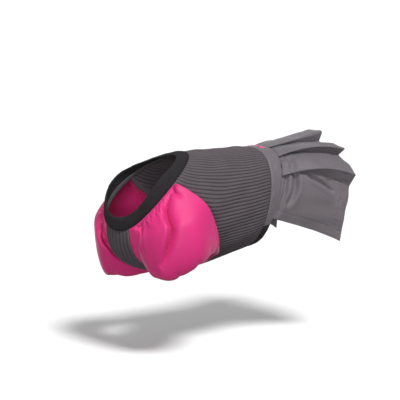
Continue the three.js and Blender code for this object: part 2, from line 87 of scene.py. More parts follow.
# Finer sizes that only the looks have
RIBS = 100
RIB_COLUMNS = 8
RIB_RELIEF = 0.85
THINNEST_KNIT = 0.4
SEAM_HOLD = 6.0
HEM_WIDTH = 10.0
STITCH_LENGTH = 2.1
STITCH_GAP = 0.8
STITCH_RADIUS = 0.17
INNER_RIB_RELIEF = 0.5
SEAM_DENT = 0.75
SEAM_DENT_REACH = 1.5
ANGLE_SLACK = 1e-6
HANDS = (("left", 1), ("right", -1))


def table(columns, rows):
    """Columns of numbers by their names."""
    return {name: np.array([row[i] for row in rows], float) for i, name in enumerate(columns.split())}


def each(rows):
    """A table's rows, each with its values by name."""
    return [dict(zip(rows, row)) for row in zip(*rows.values())]


TORSO = table("at spine keel keelDrop half lead boxy narrowing fan", [
    [0, 0, 0, 0, 0.9, 0.145, 0, -0.04, 1.25],
    [0.08, 0.08, 0.01, 0.33, 0.93, 0.135, 0.01, -0.02, 1.2],
    [0.17, 0.17, 0.06, 0.66, 0.96, 0.12, 0.02, 0, 1],
    [0.28, 0.28, 0.165, 0.9, 0.985, 0.09, 0.02, 0.02, 0.8],
    [0.41, 0.41, 0.32, 1, 1, 0.05, 0.02, 0.04, 0.55],
    [0.58, 0.58, 0.515, 1, 1, 0.02, 0.02, 0.05, 0.3],
    [0.78, 0.78, 0.755, 0.87, 0.985, 0, 0.02, 0.06, 0.1],
    [1, 1, 1, 0.68, 0.96, 0, 0.02, 0.06, 0],
])

ARMHOLE = table("across reach", [
    [0, 0], [0.024, 0.12], [0.071, 0.27], [0.138, 0.39], [0.243, 0.485], [0.37, 0.545],
    [0.508, 0.585], [0.646, 0.6], [0.804, 0.6], [0.931, 0.56], [1, 0.5],
])

SKIRT = table("fold root layer midBack midOut midDown hemBack hemOut hemDown", [
    [0, 0, 1, 0.45, 0, -0.06, 0.87, 0, -0.112],
    [1, 13, 0.5, 0.45, 0.26, -0.055, 0.87, 0.26, -0.108],
    [-1, 4, -0.5, 0.45, 0.17, -0.01, 0.86, 0.17, -0.01],
    [0, 15, -0.9, 0.45, 0.48, -0.015, 0.91, 0.55, -0.005],
    [0, 22, 1, 0.45, 0.58, -0.012, 0.93, 0.66, 0.007],
    [1, 38, 0.5, 0.45, 0.8, 0, 0.97, 0.89, 0.033],
    [-1, 28, -0.5, 0.45, 0.62, 0.055, 0.94, 0.7, 0.095],
    [0, 41, -0.9, 0.45, 0.95, 0.1, 0.94, 1.08, 0.17],
    [0, 50, 1.2, 0.45, 1.03, 0.12, 0.935, 1.17, 0.192],
    [1, 66, 0.5, 0.45, 1.23, 0.175, 0.91, 1.4, 0.25],
    [-1, 56, -0.5, 0.45, 1.05, 0.24, 0.89, 1.21, 0.358],
    [0, 69, -0.9, 0.44, 1.14, 0.32, 0.865, 1.24, 0.45],
    [0, 80, 0, 0.43, 1.16, 0.42, 0.81, 1.26, 0.56],
    [0, 91, 0, 0.43, 1.14, 0.53, 0.78, 1.25, 0.67],
    [0, 102, 0, 0.42, 1.08, 0.64, 0.765, 1.22, 0.77],
    [0, 112, 0, 0.4, 1, 0.74, 0.755, 1.19, 0.85],
])

SLEEVE = table("place lift spread highAhead highOut highDown lowAhead lowOut lowDown turn", [
    [0, 0.26, 0.08, -0.04, 0.66, 0.42, -0.28, 0.66, 0.82, -32],
    [0.35, 0.26, 0.12, 0.39, 0.95, 0.56, 0.18, 0.95, 0.94, 5],
    [0.7, 0.2, 0.16, 0.82, 0.6, 0.62, 0.58, 0.5, 1.09, 42],
    [1, 0.06, 0.36, 0.98, 0, 0.75, 0.76, 0.06, 1.075, 75],
    [1.25, 0.02, 0.38, 0.93, -0.26, 0.85, 0.69, -0.14, 1.08, 100],
    [1.5, 0.02, 0.3, 0.74, -0.42, 1, 0.56, -0.37, 1.11, 122],
    [1.75, 0.03, 0.12, 0.39, -0.61, 1.09, 0.31, -0.51, 1.12, 148],
    [2, 0.03, 0.03, -0.01, -0.7, 1.105, 0.025, -0.61, 1.1, 175],
    [2.125, 0.05, 0, -0.38, -0.34, 1.03, -0.34, -0.31, 1.02, 225],
    [2.25, 0.05, 0.02, -0.49, -0.05, 0.93, -0.47, -0.04, 0.955, 253],
    [2.375, 0.07, 0.03, -0.5, 0.1, 0.84, -0.49, 0.1, 0.93, 270],
    [2.5, 0.1, 0.04, -0.42, 0.24, 0.74, -0.45, 0.22, 0.9, 284],
    [2.75, 0.18, 0.05, -0.28, 0.47, 0.61, -0.37, 0.43, 0.86, 305],
    [3, 0.26, 0.08, -0.04, 0.66, 0.42, -0.28, 0.66, 0.82, 328],
])


# Geometry shared by the pieces

def along(rows, place, column, at):
    """A column's value at a place, on a smooth curve through the table's rows."""
    x, y = rows[place], rows[column]
    last = len(x) - 1
    k = np.arange(last + 1)
    before, after = np.maximum(k - 1, 0), np.minimum(k + 1, last)
    slope = (y[after] - y[before]) / (x[after] - x[before])
    at = np.asarray(at, float)
    i = np.clip(np.searchsorted(x, at) - 1, 0, last - 1)
    span = x[i + 1] - x[i]
    u = np.clip((at - x[i]) / span, 0, 1)
    rise = y[i + 1] - y[i]
    s0, s1 = slope[i] * span, slope[i + 1] * span
    return y[i] + u * s0 + u * u * (3 * rise - 2 * s0 - s1) + u**3 * (s0 + s1 - 2 * rise)


def unit(v):
    return v / np.maximum(np.linalg.norm(v, axis=-1, keepdims=True), 1e-9)


def ramp(low, high, value):
    """0 at low, 1 at high, with a soft start and end."""
    t = np.clip((value - low) / (high - low), 0, 1)
    return t * t * (3 - 2 * t)


def ripple(u, v, seed, waves=7):
    """Smooth random waves of about unit size and unit wavelength over two coordinates."""
    rng = np.random.default_rng(seed)
    total = 0.0
    for _ in range(waves):
        heading, phase = rng.uniform(0, 2 * math.pi, 2)
        rate = 2 * math.pi * rng.uniform(0.6, 1.5)
        total = total + np.sin(rate * (u * math.cos(heading) + v * math.sin(heading)) + phase)
    return total / math.sqrt(waves)


def torso_point(at, angle):
    """The middle of the knit wall, at a share of the torso and an angle from the spine to the left."""
    at, angle = np.broadcast_arrays(np.asarray(at, float), np.asarray(angle, float))
    value = lambda column: along(TORSO, "at", column, at)
    top = KNIT_WALL / 2
    spine_x = -NAPE_AHEAD + BACK_LENGTH * value("spine")
    chest_x = -NAPE_AHEAD - NECK_RAKE
    belly_x = -NAPE_AHEAD + BACK_LENGTH - BELLY_LEAD
    keel_x = chest_x + (belly_x - chest_x) * value("keel")
    keel_z = top - NECK_DROP - (CHEST_DEPTH - NECK_DROP) * value("keelDrop")
    from_keel = np.radians(angle % TURN - TURN / 2)
    fan_width = math.radians(35)
    turn = math.pi + from_keel * (1 + value("fan") * np.exp(-((from_keel / fan_width) ** 2)))
    boxy = value("boxy")
    up = (np.cos(turn) - boxy * np.cos(3 * turn)) / (1 - boxy)
    out = (np.sin(turn) + boxy * np.sin(3 * turn)) / (1 - boxy)
    half = CHEST_WIDTH / 2 * value("half")
    return np.stack([
        (spine_x + keel_x) / 2 + up * (spine_x - keel_x) / 2 - BACK_LENGTH * value("lead") * out * out,
        -half * out * (1 + value("narrowing") * up),
        (top + keel_z) / 2 + up * (top - keel_z) / 2,
    ], -1)


def torso_frame(at, angle):
    """Unit vectors back along the rib and out of the torso's surface."""
    step, turn_step = 0.004, 0.4
    at = np.asarray(at, float)
    back = unit(torso_point(np.minimum(1, at + step), angle) - torso_point(np.maximum(0, at - step), angle))
    round_it = unit(torso_point(at, angle + turn_step) - torso_point(at, angle - turn_step))
    return back, unit(np.cross(round_it, back))


def past_neck(distance, angle):
    back, out = torso_frame(0, angle)
    distance = np.asarray(distance, float)[..., None]
    lean = NECKBAND_LEAN * (distance / NECKBAND_WIDTH) ** 2
    return torso_point(0, angle) - back * distance - out * lean


def past_waist(distance, angle):
    back, _ = torso_frame(1, angle)
    return torso_point(1, angle) + back * np.asarray(distance, float)[..., None]


def waistband_width(angle):
    share = np.minimum(1, np.abs(angle) / WAISTBAND_HALF_ANGLE)
    return WAISTBAND_WIDTH + (BELLY_BAND_WIDTH - WAISTBAND_WIDTH) * share * share


def armhole_reach(angle):
    return along(ARMHOLE, "across", "reach", (angle - SHOULDER_ANGLE) / (PANEL_ANGLE - SHOULDER_ANGLE))


def grid_normals(grid, closed):
    """Unit normals of a grid of points (rows, columns, 3)."""
    if closed:
        u = np.roll(grid, -1, 1) - np.roll(grid, 1, 1)
    else:
        u = np.gradient(grid, axis=1)
    return unit(np.cross(u, np.gradient(grid, axis=0)))


def lengths_down(grid):
    """How far each point of a line or of a grid's columns lies from the first one."""
    steps = np.linalg.norm(np.diff(grid, axis=0), axis=-1)
    return np.concatenate([np.zeros_like(steps[:1]), np.cumsum(steps, 0)])


def lengths_across(grid):
    """How far each point of a grid's rows lies from the first one."""
    return lengths_down(grid.swapaxes(0, 1)).T


def picked(wanted, at, line):
    """The points of a line at the wanted values of what rises along it."""
    return np.stack([np.interp(wanted, at, line[:, c]) for c in range(3)], -1)


# Meshes

def wrapped(grid, closed):
    """A grid that has its first column once more at its end, where it closes."""
    return np.hstack([grid, grid[:, :1]]) if closed else grid


def corners(grid):
    """The four corners of each cell of a grid, in order round the cell."""
    return np.stack([grid[:-1, :-1], grid[:-1, 1:], grid[1:, 1:], grid[1:, :-1]], 2)


def rim(start, stop, thickness):
    """Faces from the edge of a cloth's face, given by its points' numbers, to the edge of its back."""
    return np.stack([stop, start, start + thickness, stop + thickness], -1)


def linked(name, data):
    """A new object with its data, in the scene."""
    thing = bpy.data.objects.new(name, data)
    bpy.context.scene.collection.objects.link(thing)
    return thing


def make_object(name, points, faces, places, material):
    """A mesh object from points in millimetres, four-cornered faces and their texture places."""
    mesh = bpy.data.meshes.new(name)
    mesh.vertices.add(len(points))
    mesh.vertices.foreach_set("co", (np.asarray(points) * MM).astype(np.float32).ravel())
    mesh.loops.add(faces.size)
    mesh.loops.foreach_set("vertex_index", faces.astype(np.int32).ravel())
    mesh.polygons.add(len(faces))
    mesh.polygons.foreach_set("loop_start", np.arange(0, faces.size, 4, dtype=np.int32))
    mesh.polygons.foreach_set("use_smooth", np.ones(len(faces), bool))
    layer = mesh.uv_layers.new(name="cloth", do_init=False)
    layer.uv.foreach_set("vector", np.asarray(places).astype(np.float32).ravel())
    mesh.update(calc_edges=True)
    mesh.validate()
    mesh.materials.append(material)
    return linked(name, mesh)


def shell(face, back, closed, u, v):
    """A closed cloth from the grids of its two sides: points, faces and texture places.

    u has one more column than the grid where it closes.
    """
    rows, columns, _ = face.shape
    size = rows * columns
    points = np.concatenate([face.reshape(-1, 3), back.reshape(-1, 3)])
    index = corners(wrapped(np.arange(size).reshape(rows, columns), closed))
    where = corners(np.stack([u, wrapped(v, closed)], -1))
    front, front_places = index.reshape(-1, 4), where.reshape(-1, 4, 2)
    faces, places = [front, front[:, ::-1] + size], [front_places, front_places[:, ::-1]]
    edges = [(np.s_[0], 0, 1), (np.s_[-1], 2, 3)]
    if not closed:
        edges += [(np.s_[:, 0], 3, 0), (np.s_[:, -1], 1, 2)]
    for line, a, b in edges:
        faces.append(rim(index[line][:, a], index[line][:, b], size))
        places.append(where[line][:, [b, a, a, b]])
    return points, np.concatenate(faces), np.concatenate(places)


def outward(points, faces, places):
    """The same faces, turned so that they face out of the solid."""
    a, b, c, d = (points[faces[:, i]] for i in range(4))
    volume = (np.cross(b, c) * a).sum() + (np.cross(c, d) * a).sum()
    if volume < 0:
        return points, faces[:, ::-1], places[:, ::-1]
    return points, faces, places


def joined(parts):
    """Several (points, faces, places) as one."""
    count, faces = 0, []
    for points, part_faces, _ in parts:
        faces.append(part_faces + count)
        count += len(points)
    return np.concatenate([p[0] for p in parts]), np.concatenate(faces), np.concatenate([p[2] for p in parts])


def cloth_piece(name, face, back, closed, material, u=None, v=None):
    """A cloth's object. Its texture places are in millimetres along it, unless they are given."""
    if v is None:
        v = lengths_down(face)
    if u is None:
        middle = face[len(face) // 2]
        run = lengths_down(np.concatenate([middle, middle[:1]]) if closed else middle)
        u = np.broadcast_to(run, (len(face), len(run)))
    return make_object(name, *outward(*shell(face, back, closed, u, v)), material)


def tube(path, radii, sides):
    """A round tube along points, closed at its ends, as (points, faces, places)."""
    tangent = unit(np.gradient(path, axis=0))
    helper = np.where(np.abs(tangent[:, 2:]) > 0.9, [[1.0, 0, 0]], [[0, 0, 1.0]])
    side = unit(np.cross(tangent, helper))
    other = np.cross(tangent, side)
    turn = np.linspace(0, 2 * math.pi, sides, endpoint=False)
    ring = np.cos(turn)[None, :, None] * side[:, None] + np.sin(turn)[None, :, None] * other[:, None]
    points = path[:, None] + ring * radii[:, None, None]
    index = np.arange(len(path) * sides).reshape(len(path), sides)
    caps = []
    for start in (0, (len(path) - 1) * sides):
        for i in range(0, sides - 2, 2):
            cap = [start, start + i + 1, start + i + 2, start + (i + 3) % sides]
            caps.append(cap if start else cap[::-1])
    faces = np.concatenate([corners(wrapped(index, True)).reshape(-1, 4), caps])
    places = np.zeros((len(faces), 4, 2))
    places[..., 0] = np.arange(len(faces))[:, None] * 0.01
    return points.reshape(-1, 3), faces, places


# Materials

SHEEN_ROUGHNESS = 0.4


class Shader:
    """A material made of nodes."""

    def __init__(self, name, roughness, specular=0.3, sheen=0.0, sheen_tint=(1, 1, 1)):
        self.material = bpy.data.materials.new(name)
        self.material.use_nodes = True
        self.nodes = self.material.node_tree.nodes
        self.links = self.material.node_tree.links
        self.surface = self.nodes["Principled BSDF"]
        for name, value in (
            ("Roughness", roughness), ("Specular IOR Level", specular), ("Sheen Weight", sheen),
            ("Sheen Roughness", SHEEN_ROUGHNESS), ("Sheen Tint", (*sheen_tint, 1)),
        ):
            self.surface.inputs[name].default_value = value

    def add(self, kind, inputs=(), **settings):
        """A node with its settings made, and its inputs set or connected, by name or number."""
        node = self.nodes.new(kind)
        for name, value in settings.items():
            setattr(node, name, value)
        for name, value in dict(inputs).items():
            if isinstance(value, bpy.types.NodeSocket):
                self.links.new(value, node.inputs[name])
            else:
                node.inputs[name].default_value = value
        return node

    def math(self, operation, *values):
        return self.add("ShaderNodeMath", enumerate(values), operation=operation).outputs[0]

    def weighted(self, *pairs):
        """The sum of values, each times its weight."""
        terms = [self.math("MULTIPLY", value, weight) for value, weight in pairs]
        total = terms[0]
        for term in terms[1:]:
            total = self.math("ADD", total, term)
        return total

    def place(self):
        """The cloth's own two coordinates."""
        split = self.add("ShaderNodeSeparateXYZ", {0: self.add("ShaderNodeUVMap", uv_map="cloth").outputs[0]})
        return split.outputs[0], split.outputs[1]

    def noise(self, vector, scale, detail):
        inputs = {"Vector": vector, "Scale": scale, "Detail": detail}
        return self.add("ShaderNodeTexNoise", inputs).outputs["Fac"]

    def stretched_noise(self, u, v, across, down, detail=2.0):
        """Noise whose grains are one unit wide at the given rates across and down the cloth."""
        at = {0: self.math("MULTIPLY", u, across), 1: self.math("MULTIPLY", v, down)}
        return self.noise(self.add("ShaderNodeCombineXYZ", at).outputs[0], 1.0, detail)

    def patches(self, rate, detail=3.0):
        """Soft patches over the garment, by place in space. rate is in patches a metre."""
        return self.noise(self.add("ShaderNodeTexCoord").outputs["Object"], rate, detail)

    def bump(self, height, depth_mm, strength):
        inputs = {"Height": height, "Distance": depth_mm * MM, "Strength": strength}
        self.links.new(self.add("ShaderNodeBump", inputs).outputs[0], self.surface.inputs["Normal"])

    def colour(self, colour, darkest, lightest, tone):
        """Colours the surface between two shades of a colour, given as factors of it."""
        dark, light = ((*scaled(colour, factor), 1) for factor in (darkest, lightest))
        mix = self.add("ShaderNodeMix", {"Factor": tone, "A": dark, "B": light}, data_type="RGBA")
        self.links.new(mix.outputs["Result"], self.surface.inputs["Base Color"])


def linear(red, green, blue):
    """A screen colour, 0 to 255, as the renderer's linear one."""
    return tuple(((c / 255 + 0.055) / 1.055) ** 2.4 for c in (red, green, blue))


def scaled(colour, factor):
    return tuple(c * factor for c in colour)


def woven(name, colour, pitch, contrast, roughness, sheen, sheen_tint=(1, 1, 1)):
    """A plain weave with slightly uneven threads, and a faint painted shade where the weave's bumps are low.
    """
    s = Shader(name, roughness, sheen=sheen, sheen_tint=sheen_tint)
    u, v = s.place()
    rate = math.pi / pitch
    warp = s.math("SINE", s.math("MULTIPLY", u, rate))
    weft = s.math("SINE", s.math("MULTIPLY", v, rate))
    over = s.math("MULTIPLY", warp, weft)
    slub = s.math("ADD", s.stretched_noise(u, v, 0.12, 2.2), s.stretched_noise(u, v, 2.2, 0.12))
    # Painted shade: the colour follows the weave's bumps, a little darker where they are low
    tone = s.weighted((slub, 0.35), (s.patches(45), 0.3), (over, 0.1))
    s.colour(colour, 1 - contrast, 1 + contrast, tone)
    s.bump(s.math("ADD", over, s.math("MULTIPLY", slub, 1.5)), 0.035, 0.5)
    return s.material


def rib_knit(name, colour, wales, course, groove, contrast):
    """A rib knit, with painted shade in the grooves and on the low parts of the stitches. u counts ribs, so
    each has its own wales; course is the height of a stitch row; groove is the strength of the painted shade
    in the grooves.
    """
    s = Shader(name, 0.92, specular=0.15, sheen=0.25, sheen_tint=scaled(colour, 3))
    u, v = s.place()
    across = s.math("FRACT", s.math("MULTIPLY", u, wales))
    lean = s.math("ABSOLUTE", s.math("SUBTRACT", across, 0.5))
    row = s.math("ADD", s.math("DIVIDE", v, course), s.math("MULTIPLY", lean, 0.9))
    loop = s.math("SINE", s.math("MULTIPLY", row, 2 * math.pi))
    wale = s.math("SINE", s.math("MULTIPLY", across, math.pi))
    height = s.math("MULTIPLY", wale, s.math("ADD", s.math("MULTIPLY", loop, 0.35), 0.65))
    off_centre = s.math("ABSOLUTE", s.math("SUBTRACT", s.math("FRACT", u), 0.5))
    groove_painted_shade = s.math("POWER", s.math("MULTIPLY", off_centre, 2.0), 3.0)
    fuzz = s.stretched_noise(u, v, 9.0, 1.6, 3.0)
    # Painted shade: the colour is lighter on the stitches' raised parts and darker between them
    tone = s.weighted((fuzz, 0.5), (s.patches(60), 0.3), (height, 0.2))
    # Painted shade darkens the grooves between the ribs
    tone = s.math("SUBTRACT", tone, s.math("MULTIPLY", groove_painted_shade, groove))
    s.colour(colour, 1 - contrast, 1 + contrast, tone)
    s.bump(s.math("ADD", height, s.math("MULTIPLY", fuzz, 0.6)), 0.16, 0.7)
    return s.material


def thread(name, colour):
    """Sewing thread with a fine twist."""
    s = Shader(name, 0.6, sheen=0.2)
    grain = s.patches(2600, 1.0)
    s.colour(colour, 0.75, 1.2, grain)
    s.bump(grain, 0.05, 0.4)
    return s.material


KNIT_COLOUR = linear(87, 81, 85)
NECK_COLOUR = linear(42, 40, 42)
BELLY_COLOUR = linear(45, 41, 44)
GREY_COLOUR = linear(99, 93, 98)
PINK_COLOUR = linear(203, 42, 114)

knit = rib_knit("knit_ribbed", KNIT_COLOUR, wales=2, course=1.0, groove=0.75, contrast=0.45)
neck_knit = rib_knit("knit_neckband", NECK_COLOUR, wales=1, course=0.9, groove=0.5, contrast=0.45)
belly_knit = rib_knit("knit_belly_band", BELLY_COLOUR, wales=1, course=0.7, groove=0.4, contrast=0.4)
grey_weave = woven("weave_grey", GREY_COLOUR, pitch=0.34, contrast=0.12, roughness=0.62, sheen=0.12)
pink_weave = woven("weave_pink", PINK_COLOUR, 0.3, 0.1, 0.5, 0.15, sheen_tint=(1.0, 0.55, 0.75))
grey_thread = thread("thread_grey", linear(92, 87, 93))
light_thread = thread("thread_light", linear(128, 121, 126))
pink_thread = thread("thread_pink", linear(226, 84, 140))
tape_knit = woven("tape_overlocked", linear(70, 66, 70), pitch=0.9, contrast=0.3, roughness=0.85, sheen=0.1)


def placed(thing, slot, *nodes):
    """Every piece rides on the garment's one body, and takes the place of its nodes."""
    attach(thing, "root")
    if nodes:
        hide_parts(*nodes)
    return thing


# Bodice

def make_bodice():
    """One ribbed shell: the main part all round, and the chest panel that runs on to the neck seam."""
    rows, chest_rows = 46, 26
    columns = RIBS * RIB_COLUMNS
    angle = np.arange(columns) * TURN / columns
    side = TURN / 2 - np.abs(TURN / 2 - angle)
    edge = SEAM_GAP / BACK_LENGTH
    start = np.where(side <= SHOULDER_ANGLE, edge, armhole_reach(np.minimum(side, PANEL_ANGLE)))
    on_chest = side >= PANEL_ANGLE - ANGLE_SLACK
    chest = np.flatnonzero(on_chest)
    share = np.linspace(0, 1, rows + 1)[:, None]
    main_at = start + (1 - edge - start) * share
    chest_at = edge + (start[chest] - edge) * np.linspace(0, 1, chest_rows + 1)[:-1, None]
    phase = angle / TURN * RIBS

    def surfaces(at, chosen):
        a, across = angle[chosen], side[chosen]
        sway = 0.55 * ripple(at * 2.2, a / 55, 3)
        point = torso_point(at, a + sway)
        _, out = torso_frame(at, a + sway)
        far = 9.0
        meets_neck = (across <= SHOULDER_ANGLE) | on_chest[chosen]
        to_neck = np.where(meets_neck, at - edge, far) * BACK_LENGTH
        to_hole = np.where(across < PANEL_ANGLE, at - start[chosen], far) * BACK_LENGTH
        to_waist = (1 - edge - at) * BACK_LENGTH
        dent = sum(np.exp(-((d / SEAM_DENT_REACH) ** 2)) for d in (to_neck, to_hole, to_waist))
        pull = np.exp(-to_waist / 7) + 0.6 * np.exp(-to_neck / 6)
        strength = 1 + 0.16 * ripple(at * 5, phase[chosen] // 1 * 0.37, 5) + 0.25 * pull
        groove = np.abs(2 * (phase[chosen] % 1) - 1) ** 2.6
        free = ramp(0, SEAM_HOLD, np.minimum(np.minimum(to_neck, to_hole), to_waist))
        soft = 0.5 * ripple(at * 3, a / 40, 8) * free
        inner = -KNIT_WALL / 2 + INNER_RIB_RELIEF * groove + soft
        outer = KNIT_WALL / 2 - RIB_RELIEF * strength * groove - SEAM_DENT * np.minimum(dent, 1) + soft
        # In the grooves beside a seam the wall stays this thick, or light would show through
        outer = np.maximum(outer, inner + THINNEST_KNIT)
        return point + out * outer[..., None], point + out * inner[..., None]

    main_face, main_back = surfaces(main_at, np.arange(columns))
    chest_face, chest_back = surfaces(chest_at, chest)
    size = main_at.size + chest_at.size
    main_index, chest_index = np.split(np.arange(size), [main_at.size])
    main_index = main_index.reshape(main_at.shape)
    chest_index = np.vstack([chest_index.reshape(chest_at.shape), chest])
    points = np.concatenate([grid.reshape(-1, 3) for grid in (main_face, chest_face, main_back, chest_back)])
    grids = (wrapped(main_index, True), chest_index)
    front = np.concatenate([corners(grid).reshape(-1, 4) for grid in grids])
    after = np.roll(main_index, -1, 1)
    open_edge = ~(on_chest & np.roll(on_chest, -1))
    rims = [rim(start_line, stop_line, size) for start_line, stop_line in (
        (main_index[0][open_edge], after[0][open_edge]),
        (after[-1], main_index[-1]),
        (chest_index[0, :-1], chest_index[0, 1:]),
        (chest_index[1:, 0], chest_index[:-1, 0]),
        (chest_index[:-1, -1], chest_index[1:, -1]),
    )]
    faces = np.concatenate([front, front[:, ::-1] + size, *rims])
    along_rib = np.concatenate([main_at.ravel(), chest_at.ravel()]) * BACK_LENGTH
    rib_of = np.concatenate([np.tile(phase, rows + 1), np.tile(phase[chest], chest_rows)])
    places = np.stack([rib_of, along_rib], -1)[faces % size]
    u = places[..., 0]
    over_start = (u.max(1) - u.min(1) > RIBS / 2)[:, None]
    places[..., 0] = np.where(over_start & (u < RIBS / 2), u + RIBS, u)
    return make_object("bodice_knit", *outward(points, faces, places), knit)


bodice = placed(make_bodice(), "body_knit", "bodice")


# Bands

def band(name, angle, width, distances, past, wall, closed, material, ribs_each, relief, waves):
    """A strip of cloth past a seam, with rounded edges. ribs_each is the angle from rib to rib."""
    share = distances[:, None]
    width = np.broadcast_to(width, angle.shape)
    _, out = torso_frame(0 if past is past_neck else 1, angle)
    distance = SEAM_GAP / 2 + share * (width - SEAM_GAP / 2)
    middle = past(distance, np.broadcast_to(angle, distance.shape))
    half = wall / 2 * (1 - 0.72 * np.abs(2 * share - 1) ** 7)
    off = np.abs(2 * (angle / ribs_each % 1) - 1)
    free = ramp(0, 0.2, share)
    wave = waves * ripple(share * 1.4, angle / 16, 21) * free
    edge_wave = waves * np.abs(2 * share - 1) ** 3 * ripple(share * 2, angle / 5, 22) * free
    face = middle + out * (half - relief * off**2 + wave + edge_wave)[..., None]
    rear = middle - out * (half - relief * off**2 - wave - edge_wave)[..., None]
    step = angle[1] - angle[0]
    ribs = np.append(angle, angle[-1] + step) if closed else angle
    u = np.broadcast_to(ribs / ribs_each, (len(distances), len(ribs)))
    return cloth_piece(name, face, rear, closed, material, u=u, v=distance)


EDGES = np.concatenate([[0, 0.012, 0.035, 0.07], np.linspace(0.12, 0.88, 12), [0.93, 0.965, 0.988, 1]])
NECK_RIBS = 150
BELLY_RIBS = 82
BELLY_RIB_ANGLE = 1.5
RIB_STEPS = 6
WAIST_COLUMNS = 473
BAND_END_GAP = 0.2

neck_angles = np.arange(NECK_RIBS * RIB_STEPS) * TURN / (NECK_RIBS * RIB_STEPS)
neckband = placed(
    band("neckband_knit", neck_angles, NECKBAND_WIDTH, EDGES, past_neck, NECKBAND_WALL, True,
         neck_knit, ribs_each=TURN / NECK_RIBS, relief=0.5, waves=0.15),
    "neck_knit", "neckband")

# The waistband has no ribs: its texture counts millimetres instead
waist_angles = np.linspace(-WAISTBAND_HALF_ANGLE, WAISTBAND_HALF_ANGLE, WAIST_COLUMNS)
waistband = placed(
    band("waistband_woven", waist_angles, waistband_width(waist_angles), EDGES, past_waist,
         WAISTBAND_WALL, False, grey_weave, ribs_each=1 / math.radians(CHEST_WIDTH / 2),
         relief=0.0, waves=0.16),
    "grey_weave", "waistband")

belly_end = WAISTBAND_HALF_ANGLE + BAND_END_GAP
belly_angles = np.linspace(belly_end, TURN - belly_end, BELLY_RIBS * RIB_STEPS + 1)
belly_band = placed(
    band("belly_band_elastic", belly_angles, BELLY_BAND_WIDTH, EDGES, past_waist, BELLY_BAND_WALL,
         False, belly_knit, ribs_each=BELLY_RIB_ANGLE, relief=0.22, waves=0.1),
    "belly_knit", "belly_band")


# Skirt

PANEL_COLUMNS = 20
FOLD_REACH = 1.5
FOLD_POINTS = 5
HEM_ROWS = 12
SKIRT_ROWS = 84
END_PANEL_COLUMNS = 84
SOFT_WAVES = 0.4
STITCH_DENT = 0.28
STITCH_DENT_REACH = 0.8
PUCKER = 0.13
PUCKER_REACH = 5.0
SEWN_DIP = 1.3
SEWN_REACH = 4.5
HEM_THICKENING = 0.35
HEM_STEP = 0.6


def skirt_lines():
    """The skirt's lines from the right end edge over the top to the left one: points by share."""
    count = len(SKIRT["fold"])
    numbers = np.arange(1 - count, count)
    row, side = np.abs(numbers), np.where(numbers < 0, -1, 1)
    value = {name: column[row] for name, column in SKIRT.items()}
    angle = side * value["root"]
    start = past_waist(waistband_width(angle) + SEAM_GAP, angle)
    start = start + torso_frame(1, angle)[1] * (value["layer"] * LAYER)[:, None]
    waist_x = -NAPE_AHEAD + BACK_LENGTH + WAISTBAND_WIDTH

    def passing(level):
        return np.stack([
            waist_x + SKIRT_LENGTH * value[level + "Back"],
            -side * value[level + "Out"] * CHEST_WIDTH / 2,
            KNIT_WALL / 2 - value[level + "Down"] * CHEST_DEPTH,
        ], -1)

    middle, end = passing("mid"), passing("hem")
    bend = 2 * middle - (start + end) / 2
    return value["fold"], start, bend, end


def bent(start, bend, end, share):
    """Points at shares of curves that run from their starts to their ends and lean to their bends."""
    share = share[:, None, None]
    return start * (1 - share) ** 2 + bend * 2 * share * (1 - share) + end * share * share


def smooth_across(points, count):
    """A run of lines made into count + 1 evenly spaced ones, on a smooth curve at each station."""
    result = []
    for row, at in zip(points, lengths_across(points)):
        rows = {"at": at, "x": row[:, 0], "y": row[:, 1], "z": row[:, 2]}
        wanted = np.linspace(0, at[-1], count + 1)
        result.append(np.stack([along(rows, "at", c, wanted) for c in "xyz"], -1))
    return np.stack(result)


def smoothed(line, span):
    """A row of points averaged over an odd number of neighbours."""
    padded = np.pad(line, ((span // 2, span // 2), (0, 0)), "edge")
    return np.stack([np.convolve(padded[:, c], np.ones(span) / span, "valid") for c in range(3)], -1)


def on_fold(fold, name, t):
    """A fold's place or share at t from 0 to 1, on a parabola through its three points."""
    first, middle, last = (fold[name + point] for point in "012")
    return first + (4 * middle - 3 * first - last) * t + (2 * first + 2 * last - 4 * middle) * t * t


def faded(low, high, t):
    """A fold's strength along it: full in the middle and weaker towards its ends."""
    return np.sin(np.pi * (low + (high - low) * t)) ** 0.8


def skirt_middle():
    """The middle of the skirt's cloth, its panel numbers, and how far across its panel each column is."""
    folds, start, bend, end = skirt_lines()
    length = np.linalg.norm(end - start, axis=1).mean()
    shares = np.concatenate([
        np.linspace(0, 1 - HEM_WIDTH / length, SKIRT_ROWS - HEM_ROWS),
        np.linspace(1 - HEM_WIDTH / length, 1, HEM_ROWS + 1)[1:],
    ])
    lines = bent(start, bend, end, shares)
    turns = np.concatenate([[0], np.flatnonzero(folds), [len(folds) - 1]])
    runs = []
    for number, (a, b) in enumerate(zip(turns[:-1], turns[1:])):
        wide = number in (0, len(turns) - 2)
        runs.append(smooth_across(lines[:, a:b + 1], END_PANEL_COLUMNS if wide else PANEL_COLUMNS))
    grid, panel, across = [], [], []
    for number, run in enumerate(runs):
        columns = run.shape[1]
        from_start = lengths_across(run)
        total = from_start[:, -1:]
        low = 0 if number == 0 else FOLD_REACH
        high = 0 if number == len(runs) - 1 else FOLD_REACH
        wanted = low + (total - low - high) * np.linspace(0, 1, columns)
        flat = np.stack([picked(*of_row) for of_row in zip(wanted, from_start, run)])
        grid.append(flat)
        panel.append(np.full(columns, number))
        across.append(np.linspace(0, 1, columns))
        if number < len(runs) - 1:
            tip, following = run[:, -1], runs[number + 1]
            into = lengths_across(following)
            after = np.stack([picked(FOLD_REACH, at, row) for at, row in zip(into, following)])
            curve = bent(flat[:, -1], tip, after, np.linspace(0, 1, FOLD_POINTS + 2)[1:-1])
            grid.append(curve.swapaxes(0, 1))
            panel.append(np.full(FOLD_POINTS, -1))
            across.append(np.full(FOLD_POINTS, 0.5))
    return np.concatenate(grid, 1), np.concatenate(panel), np.concatenate(across), shares


